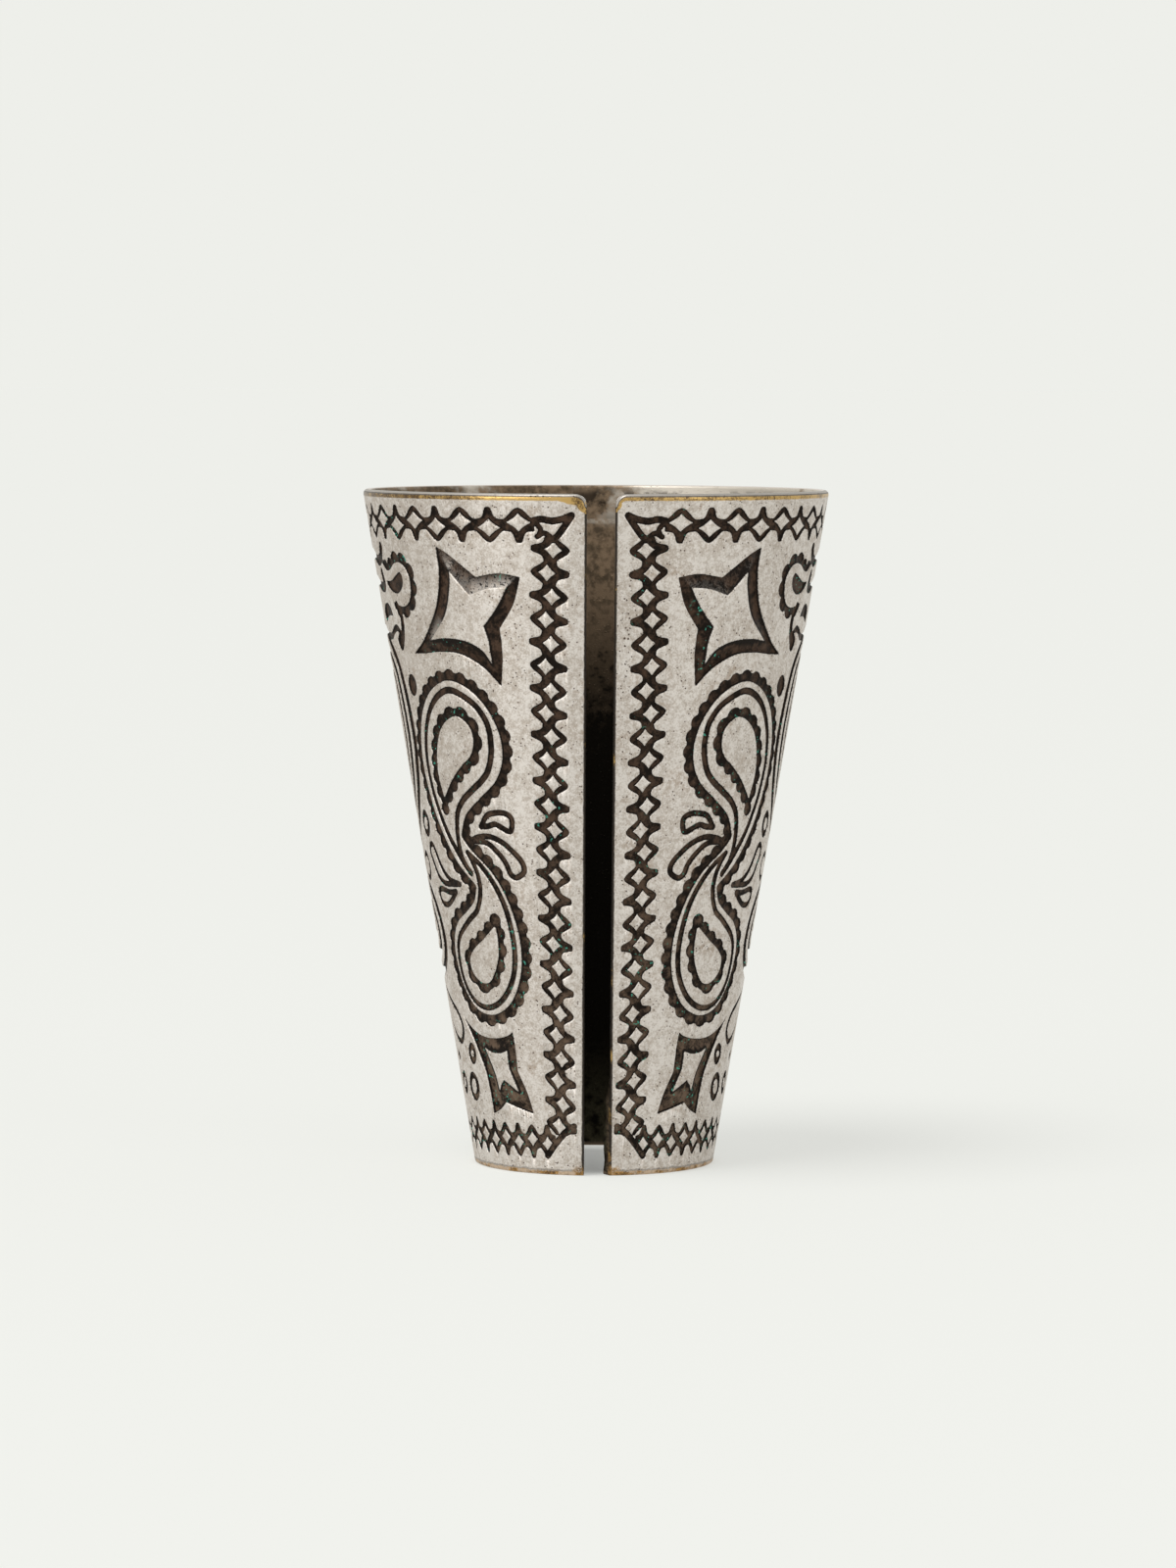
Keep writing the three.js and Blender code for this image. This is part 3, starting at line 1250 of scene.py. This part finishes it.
class NodeSketch:
    """Writes a node tree from Python."""

    def __init__(self, tree: bpy.types.NodeTree) -> None:
        """Clears the tree to start afresh."""
        self.tree = tree
        tree.nodes.clear()

    def node(self, kind: str, settings: dict, sockets: dict, out: Union[str, int] = 0) -> Socket:
        """Adds a node.

        Args:
            kind: The node's type.
            settings: Its properties.
            sockets: Its inputs by name or place, each a Socket or a constant.
            out: Name or place of the output to return.

        Returns:
            That output.
        """
        node = self.tree.nodes.new(kind)
        for name, value in settings.items():
            setattr(node, name, value)
        for name, value in sockets.items():
            if isinstance(value, Socket):
                self.tree.links.new(value.output, node.inputs[name])
            else:
                target = node.inputs[name]
                target.default_value = (*value, 1.0) if target.type == "RGBA" and len(value) == 3 else value
        return Socket(self, node.outputs[out] if node.outputs else None)

    def attribute(self, name: str, out: str = "Fac") -> Socket:
        """A value stored on the mesh."""
        return self.node("ShaderNodeAttribute", {"attribute_name": name}, {}, out)

    def noise(self, place: Socket, scale: float, detail: float = 3.0, rough: float = 0.55) -> Socket:
        """Noise from 0 to 1 over the place, in cells per unit of it."""
        sockets = {"Vector": place, "Scale": scale, "Detail": detail, "Roughness": rough}
        return self.node("ShaderNodeTexNoise", {}, sockets, "Fac")

    def split(self, vector: Socket) -> tuple[Socket, ...]:
        """The three parts of a vector."""
        outputs = self.node("ShaderNodeSeparateXYZ", {}, {0: vector}).output.node.outputs
        return tuple(Socket(self, outputs[axis]) for axis in "XYZ")

    def mix(self, share: Value, low: Value, high: Value) -> Socket:
        """A colour between two."""
        return self.node("ShaderNodeMix", {"data_type": "RGBA"}, {0: share, 6: low, 7: high}, 2)


@dataclass(frozen=True)
class Marks:
    """What the finish reads on a wall: its place, the distances to its edges in millimetres, and noises."""

    sketch: NodeSketch
    place: Socket
    recess: Socket
    # Share of the painted glint on the stars' slopes
    shine: Socket
    side: Socket
    inner: Socket
    outside: Socket
    right: Socket
    lip: Socket
    foot: Socket
    rim: Socket
    cloud: Socket
    patch: Socket
    grain: Socket
    fine: Socket
    spot: Socket
    wobble: Socket

    @classmethod
    def read(cls, sketch: NodeSketch) -> "Marks":
        """Reads the marks in a material's node tree.

        Args:
            sketch: The node tree.

        Returns:
            The marks.
        """
        place = sketch.attribute("rest", "Vector")
        lip, foot, rim = sketch.split(sketch.attribute("edges", "Vector"))
        side = sketch.attribute("inner")
        grain = sketch.noise(place, 1.1, 4.0, 0.6)
        return cls(
            sketch=sketch,
            place=place,
            recess=sketch.attribute("recess"),
            shine=sketch.attribute("shine"),
            side=side,
            inner=side.ramp(0.2, 0.8),
            outside=side.ramp(0.35, 0.0),
            right=sketch.split(place)[0],
            lip=lip,
            foot=foot,
            rim=rim,
            cloud=sketch.noise(place, 0.16, 4.0),
            patch=sketch.noise(place, 0.45, 4.0, 0.6),
            grain=grain,
            fine=sketch.noise(place, 3.4, 3.0, 0.65),
            spot=sketch.node("ShaderNodeTexVoronoi", {}, {"Vector": place, "Scale": 1.5}, "Distance"),
            wobble=(grain - 0.5) * 0.8,
        )


@dataclass(frozen=True)
class AntiquedSilver:
    """Worn silver plate on brass, with painted light and shade: dark grooves with verdigris and painted shade
    on their walls, painted glints on the stars' slopes, bare brass on the edges with a painted highlight on
    the gilt, and an inside painted black with shade low down, oxidised brown with painted reflections higher
    up, lit from the floor at its foot.

    Spans and bands are millimetres from the edge that they name, or up the wall, or to the right of the slit.
    """

    silver: Colour = (0.684, 0.637, 0.594)
    dull_silver: Colour = (0.450, 0.392, 0.340)
    rim_top: Colour = (0.385, 0.355, 0.325)
    brown: Colour = (0.300, 0.205, 0.135)
    pit: Colour = (0.060, 0.034, 0.022)
    # Near black: the grooves' patina, with painted shade on their walls
    dark_patina_and_shade: Colour = (0.009, 0.006, 0.004)
    dust: Colour = (0.072, 0.043, 0.028)
    pale_dust: Colour = (0.150, 0.102, 0.070)
    verdigris: Colour = (0.072, 0.340, 0.250)
    brass: Colour = (0.550, 0.360, 0.132)
    foot_brass: Colour = (0.460, 0.262, 0.092)
    tarnish: Colour = (0.110, 0.066, 0.032)
    # Near black for lines, mottles and the lip's cut face: soot, and painted shade along the lips
    soot_and_shade: Colour = (0.022, 0.015, 0.010)
    cut: Colour = (0.120, 0.088, 0.060)
    # Near black low inside the cone: painted shade
    inside: Colour = (0.007, 0.0055, 0.0035)
    # Pale greenish near the foot inside: painted light from the floor
    floor_lit_foot: Colour = (0.060, 0.052, 0.031)
    # Browns higher up inside: oxide, with painted reflection of the bright room through the open top
    inside_umber: Colour = (0.085, 0.061, 0.039)
    inside_brown: Colour = (0.235, 0.165, 0.106)
    # Pale inside colour for the painted reflections below the rim and for the pale line
    inside_light: Colour = (0.560, 0.510, 0.440)
    tall: float = 111.5
    # Stretch towards the left over which the plate turns a little duller
    dull_from: Span = (-14.0, -34.0)
    scuff_from_lip: Band = (0.9, 1.5, 2.2, 3.0)
    scuff_height: Band = (76.0, 84.0, 96.0, 99.0)
    pale_dust_height: Span = (80.0, 5.0)
    rim_edge: Span = (0.24, 0.14)
    rim_line: Band = (0.17, 0.23, 0.38, 0.46)
    # Dark line along the lips: a dark edge, partly painted shade where the cut face lies in shadow
    lip_line: Span = (0.40, 0.24)
    foot_line_top: Span = (1.10, 0.90)
    foot_line_low: Span = (0.60, 0.80)
    cut_height: Span = (24.0, 15.0)
    gilt_top: Span = (0.34, 0.42)
    gilt_width: float = 0.96
    gilt_corner_width: float = 0.75
    bare_lip: Span = (0.30, 0.10)
    bare_foot: Span = (0.85, 0.60)
    bare_corner_lip: Span = (2.1, 1.1)
    bare_corner_foot: Span = (2.0, 1.1)
    # Stretch left of the front where the gilt carries a painted highlight
    gilt_highlight: Band = (-24.0, -12.0, -6.0, -4.0)
    # Heights where the painted shade low inside gives way to brown
    brown_inside: Span = (70.0, 94.0)
    # Heights where painted light from the floor reaches up inside
    floor_lit_inside_foot: Span = (20.0, 4.0)
    # Reach below the rim of the painted reflections inside
    reflection_below_rim: Span = (8.0, 2.5)
    mottled_inside: Band = (0.6, 2.0, 5.0, 9.0)
    inside_line: Band = (5.7, 6.1, 6.4, 6.9)
    specular: float = 0.08
    bump_strength: float = 0.45
    bump_distance: float = 0.0001

    def material(self) -> bpy.types.Material:
        """Makes the material.

        Returns:
            The finished material.
        """
        material = bpy.data.materials.new("antiqued_silver_plate")
        material.use_nodes = True
        sketch = NodeSketch(material.node_tree)
        marks = Marks.read(sketch)
        pits = self._pits(marks)
        groove = self._groove(marks)
        bare = self._bare(marks)
        colour = sketch.mix(groove, self._plate(marks, pits), self._stain(marks))
        colour = self._edged(marks, colour)
        colour = sketch.mix(marks.inner, colour, self._inside_oxide_and_shade(marks))
        rim_colour = sketch.mix(marks.outside, self.silver, self.rim_top)
        colour = sketch.mix(marks.rim.ramp(*self.rim_edge), colour, rim_colour)
        colour = sketch.mix(bare, colour, self._bare_metal(marks))
        dirt = groove * (1.0 - marks.inner)
        relief = {
            "Height": marks.fine * 0.6 + marks.grain * 0.5 - pits * 1.4,
            "Strength": self.bump_strength,
            "Distance": self.bump_distance,
        }
        surface = {
            "Base Color": colour,
            "Metallic": (1.0 - dirt * 0.9) * (1.0 - marks.inner * 0.35) * 0.85,
            "Roughness": 0.40 + marks.cloud * 0.12 + dirt * 0.12 - bare * 0.16,
            "Specular IOR Level": self.specular,
            "Normal": sketch.node("ShaderNodeBump", {}, relief, "Normal"),
        }
        shader = sketch.node("ShaderNodeBsdfPrincipled", {}, surface, "BSDF")
        sketch.node("ShaderNodeOutputMaterial", {}, {"Surface": shader})
        return material

    def _pits(self, m: Marks) -> Socket:
        """Small pits in patches, and a scuffed strip beside the right lip.

        Args:
            m: The marks.

        Returns:
            How far a place is pitted.
        """
        pitted = m.spot.ramp(0.25, 0.13) * m.patch.ramp(0.46, 0.56)
        scuffed = m.lip.band(*self.scuff_from_lip) * m.foot.band(*self.scuff_height) * m.right.ramp(0.0, 1.0)
        return pitted.most(scuffed * m.spot.ramp(0.34, 0.22) * m.fine.ramp(0.38, 0.48))

    def _plate(self, m: Marks, pits: Socket) -> Socket:
        """The colour of the plain plate.

        Args:
            m: The marks.
            pits: How far a place is pitted.

        Returns:
            The colour.
        """
        dullness = m.cloud * 0.20 + m.patch * 0.22 + m.grain * 0.43 + m.fine * 0.55
        # A little duller towards the left
        dullness = (dullness + m.right.ramp(*self.dull_from) * 0.05).ramp(0.595, 0.825)
        plate = m.sketch.mix(dullness, self.silver, self.dull_silver)
        browned = m.sketch.noise(m.place, 0.24, 3.0).ramp(0.56, 0.72) * m.grain.ramp(0.40, 0.62)
        plate = m.sketch.mix(browned * 0.38, plate, self.brown)
        return m.sketch.mix(pits * 0.9, plate, self.pit)

    def _groove(self, m: Marks) -> Socket:
        """Where the engraving is dark, with ragged edges and painted glints on the stars' slopes.

        Args:
            m: The marks.

        Returns:
            The share of the stain.
        """
        ragged = (m.recess + (m.fine - 0.5) * 0.45).ramp(0.12, 0.36)
        # Painted glint: the stain thins to silver where light would catch the stars' slopes
        glinting = m.shine * (m.fine * 0.6 + m.grain * 0.4 + (m.cloud - 0.5) * 0.5).ramp(0.41, 0.53)
        return ragged * (1.0 - glinting * 0.8)

    def _stain(self, m: Marks) -> Socket:
        """The colour in the engraving: dark patina, kept near black on the groove walls as painted shade,
        dusty on the grooves' floors, with specks of verdigris.

        Args:
            m: The marks.

        Returns:
            The colour.
        """
        dust = m.sketch.mix(
            (m.foot + (m.cloud - 0.5) * 60.0).ramp(*self.pale_dust_height), self.dust, self.pale_dust)
        # Dust shows only on the floors; the walls stay near black as patina with painted shade
        dusty = (m.patch * 0.5 + m.grain * 0.3 + m.fine * 0.2).ramp(0.42, 0.60) * m.recess.ramp(0.75, 1.0)
        stain = m.sketch.mix(dusty, self.dark_patina_and_shade, dust)
        speck = m.sketch.noise(m.place, 1.5, 2.0).ramp(0.64, 0.69)
        region = (m.sketch.noise(m.place, 0.11, 2.0) - m.foot * 0.0012).ramp(0.44, 0.52)
        return m.sketch.mix(speck * region * 0.9, stain, self.verdigris)

    def _edged(self, m: Marks, colour: Socket) -> Socket:
        """Darkens the edges: thin lines along rim, lip and foot, the lip's line partly painted shade, and the
        rough cut low on the lip.

        Args:
            m: The marks.
            colour: The colour so far.

        Returns:
            The colour with its edges.
        """
        # The lip line is partly painted shade, as on the right lip's cut face
        line = (m.rim.band(*self.rim_line) * 0.8).most((m.lip + m.wobble * 0.4).ramp(*self.lip_line))
        foot_line = (m.foot + m.wobble * 1.2).ramp(*self.foot_line_top) * m.foot.ramp(*self.foot_line_low)
        line = line.most(foot_line * 0.5)
        colour = m.sketch.mix(line * (1.0 - m.inner) * 0.95, colour, self.soot_and_shade)
        cut = m.lip.ramp(0.10, 0.03) * m.side.ramp(0.0, 0.25) * m.foot.ramp(*self.cut_height)
        cut_colour = m.sketch.mix((m.grain * 0.5 + m.fine * 0.5).ramp(0.40, 0.60), self.soot_and_shade, self.cut)
        return m.sketch.mix(cut, colour, cut_colour)

    def _bare(self, m: Marks) -> Socket:
        """Where the plate is worn to the brass: below the rim, round the lips' corners, on lips and foot.

        Args:
            m: The marks.

        Returns:
            The share of bare metal.
        """
        below = self.tall - m.foot
        near = m.rim.least(m.lip + below.ramp(1.5, 5.0) * 3.0)
        corner = m.lip.ramp(5.0, 1.5) * below.ramp(4.0, 2.0) * m.right.ramp(1.0, -1.0)
        reach = self.gilt_width + self.gilt_corner_width * corner
        gilt = (near / reach + m.wobble * 0.4).ramp(1.08, 0.90) * near.ramp(*self.gilt_top)
        lips = (m.lip + m.wobble * 0.9).ramp(*self.bare_lip) * m.cloud.ramp(0.60, 0.66)
        foot = (m.foot + m.wobble * 1.2).ramp(*self.bare_foot) * (0.55 + 0.45 * m.patch.ramp(0.44, 0.56))
        low = (m.lip + m.wobble * 1.8).ramp(*self.bare_corner_lip)
        low = low * (m.foot + m.wobble * 1.8).ramp(*self.bare_corner_foot) * m.fine.ramp(0.40, 0.52)
        return gilt.most(lips).most(foot).most(low * 0.85) * m.outside

    def _bare_metal(self, m: Marks) -> Socket:
        """The colour of the bare brass, browner at the foot, darker towards the left, with a painted
        highlight on the gilt left of the front.

        Args:
            m: The marks.

        Returns:
            The colour.
        """
        bronze = m.sketch.mix(m.foot.ramp(4.0, 2.5), self.brass, self.foot_brass)
        tarnish_and_highlight = m.fine * 0.5 + m.grain * 0.3 + m.patch * 0.4 + m.right.ramp(-14.0, -30.0) * 0.10
        # Painted highlight: less tarnish on the gilt left of the front, near the rim
        tarnish_and_highlight = tarnish_and_highlight - m.right.band(*self.gilt_highlight) * m.rim.ramp(3.0, 2.0) * 0.12
        return m.sketch.mix(tarnish_and_highlight.ramp(0.54, 0.74), bronze, self.tarnish)

    def _inside_oxide_and_shade(self, m: Marks) -> Socket:
        """The colour inside: black low down as painted shade, brown above as oxide with painted reflection,
        painted light from the floor at the foot, painted reflections in bright patches below the rim, and a
        pale line below the rim.

        Args:
            m: The marks.

        Returns:
            The colour.
        """
        mix = m.sketch.mix
        brown = mix((m.patch * 0.6 + m.grain * 0.4).ramp(0.40, 0.62), self.inside_brown, self.inside_umber)
        # Painted shade: black low in the cone, turning brown towards the open top
        browned = (m.foot + m.wobble * 26.0 + (m.patch - 0.5) * 40.0).ramp(*self.brown_inside)
        oxide_and_shade = mix(browned, self.inside, brown)
        # Painted light from the floor on the inside near the foot
        floor_lit = (m.foot + (m.patch - 0.5) * 30.0).ramp(*self.floor_lit_inside_foot) * m.patch.ramp(0.35, 0.60)
        oxide_and_shade = mix(floor_lit, oxide_and_shade, self.floor_lit_foot)
        # Painted reflection: bright patches inside just below the rim, stronger right of the slit
        reflection = m.sketch.noise(m.place, 0.11, 3.0) + m.right.ramp(-3.0, 9.0) * 0.30 + (m.grain - 0.5) * 0.25
        oxide_and_shade = mix(reflection.ramp(0.56, 0.76) * m.rim.ramp(*self.reflection_below_rim), oxide_and_shade, self.inside_light)
        mottle = m.sketch.noise(m.place, 0.30, 4.0, 0.6).ramp(0.50, 0.60) * m.rim.band(*self.mottled_inside)
        oxide_and_shade = mix(mottle * 0.85, oxide_and_shade, self.soot_and_shade)
        line = (self.tall - m.foot).band(*self.inside_line) * m.grain.ramp(0.36, 0.56)
        oxide_and_shade = mix(line * 0.45, oxide_and_shade, self.inside_light)
        return mix(m.foot.ramp(0.7, 0.35), oxide_and_shade, self.cut)


@dataclass(frozen=True)
class SoftLamp:
    """A square lamp that faces the origin: its place in metres, its power and its side."""

    name: str
    place: Place
    power: float
    size: float = 0.7

    def build(self) -> None:
        """Puts the lamp up."""
        bpy.ops.object.light_add(type="AREA", location=self.place)
        lamp = bpy.context.object
        lamp.name = self.name
        lamp.rotation_euler = Vector(self.place).to_track_quat("Z", "Y").to_euler()
        lamp.data.size = self.size
        lamp.data.energy = self.power


@dataclass(frozen=True)
class Studio:
    """A plain pale room: an even sky, a soft sun from the left, two lamps and a floor with a shadow."""

    backdrop: Colour = (0.855, 0.863, 0.823)
    sky: float = 0.53
    sun_share: float = 0.47
    sun_angle: float = math.radians(30.0)
    sun_from: Place = (-0.8, -0.6, 2.5)
    lamps: tuple[SoftLamp, ...] = (
        SoftLamp("left_fill", (-1.08, -0.91, 0.28), 5.0),
        SoftLamp("right_fill", (1.08, -0.91, 0.28), 2.0),
    )
    floor_glow: float = 0.68
    floor_size: float = 60.0
    shaded_glow: float = 0.25
    shaded_reach: Span = (0.012, 0.022)
    eye: Place = (-22.05, -997.24, 130.55)
    heading: float = math.radians(-1.2)
    pitch: float = math.radians(-3.934)
    roll: float = math.radians(0.1785)
    lens: float = 140.34
    sensor: float = 36.0
    clip: Span = (0.01, 200.0)

    def build(self) -> None:
        """Sets up the light, the floor and the camera."""
        self._sky()
        self._sun()
        for lamp in self.lamps:
            lamp.build()
        self._floor()
        self._camera()
        bpy.context.scene.view_settings.view_transform = "Standard"

    def _sky(self) -> None:
        """An even sky that shows as the pale backdrop."""
        world = bpy.data.worlds.new("studio_sky")
        world.use_nodes = True
        bpy.context.scene.world = world
        sketch = NodeSketch(world.node_tree)
        path = sketch.node("ShaderNodeLightPath", {}, {}).output.node.outputs
        seen = Socket(sketch, path["Is Camera Ray"])
        for kind in ("Is Glossy Ray", "Is Transmission Ray"):
            seen = seen.most(Socket(sketch, path[kind]))
        colour = sketch.mix(seen, (self.sky, self.sky, self.sky), self.backdrop)
        shader = sketch.node("ShaderNodeBackground", {}, {"Color": colour}, "Background")
        sketch.node("ShaderNodeOutputWorld", {}, {"Surface": shader})

    def _sun(self) -> None:
        """The soft sun, as strong as its share of the floor's light asks."""
        towards = Vector(self.sun_from).normalized()
        bpy.ops.object.light_add(type="SUN")
        sun = bpy.context.object
        sun.name = "soft_sun"
        sun.rotation_euler = towards.to_track_quat("Z", "Y").to_euler()
        sun.data.angle = self.sun_angle
        sun.data.energy = self.sun_share * math.pi / towards.z

    def _floor(self) -> None:
        """The pale floor."""
        bpy.ops.object.select_all(action="DESELECT")
        bpy.ops.mesh.primitive_plane_add(size=self.floor_size)
        floor = bpy.context.object
        floor.name = "floor"
        material = bpy.data.materials.new("pale_floor")
        material.use_nodes = True
        sketch = NodeSketch(material.node_tree)
        lit = sketch.node("ShaderNodeBsdfDiffuse", {}, {"Color": self.backdrop}, "BSDF")
        glow = sketch.node("ShaderNodeEmission", {}, {"Color": self.backdrop}, "Emission")
        place = sketch.node("ShaderNodeTexCoord", {}, {}, "Object")
        reach = sketch.node("ShaderNodeVectorMath", {"operation": "LENGTH"}, {0: place}, "Value")
        open_air = self.shaded_glow + (1 - self.shaded_glow) * reach.ramp(*self.shaded_reach)
        sockets = {0: open_air * self.floor_glow, 1: lit, 2: glow}
        shader = sketch.node("ShaderNodeMixShader", {}, sockets, "Shader")
        sketch.node("ShaderNodeOutputMaterial", {}, {"Surface": shader})
        floor.data.materials.append(material)

    def _camera(self) -> None:
        """The camera at the photograph's place."""
        bpy.ops.object.camera_add()
        camera = bpy.context.object
        turn = Matrix.Rotation(self.heading, 4, "Z") @ Matrix.Rotation(math.pi / 2 + self.pitch, 4, "X")
        camera.matrix_world = (
            Matrix.Translation(Vector(self.eye) * MM) @ turn @ Matrix.Rotation(self.roll, 4, "Z"))
        camera.data.lens = self.lens
        camera.data.sensor_width = self.sensor
        camera.data.clip_start, camera.data.clip_end = self.clip
        bpy.context.scene.camera = camera


@dataclass(frozen=True)
class Fineness:
    """Millimetres between the cells of the engraving and between the lines of a wall's grid."""

    map_step: float = 0.09
    pitch: float = 0.15


def main() -> None:
    """Engraves, builds and dresses the walls, then sets up the studio."""
    logging.basicConfig(level=logging.INFO, format="%(message)s")
    sheet = ConeSheet()
    fineness = Fineness()
    engraving = Ornament(sheet).engraved(fineness.map_step)
    LOG.info("engraving %s", engraving.depth.shape)
    finish = AntiquedSilver().material()
    for wall in Wall:
        stretch = WallPiece(wall, sheet, fineness.pitch)
        piece = stretch.build(engraving)
        piece.data.materials.append(finish)
        stretch.fit(piece)
        LOG.info("%s: %d polygons", piece.name, len(piece.data.polygons))
    Studio().build()


if __name__ == "__main__":
    main()
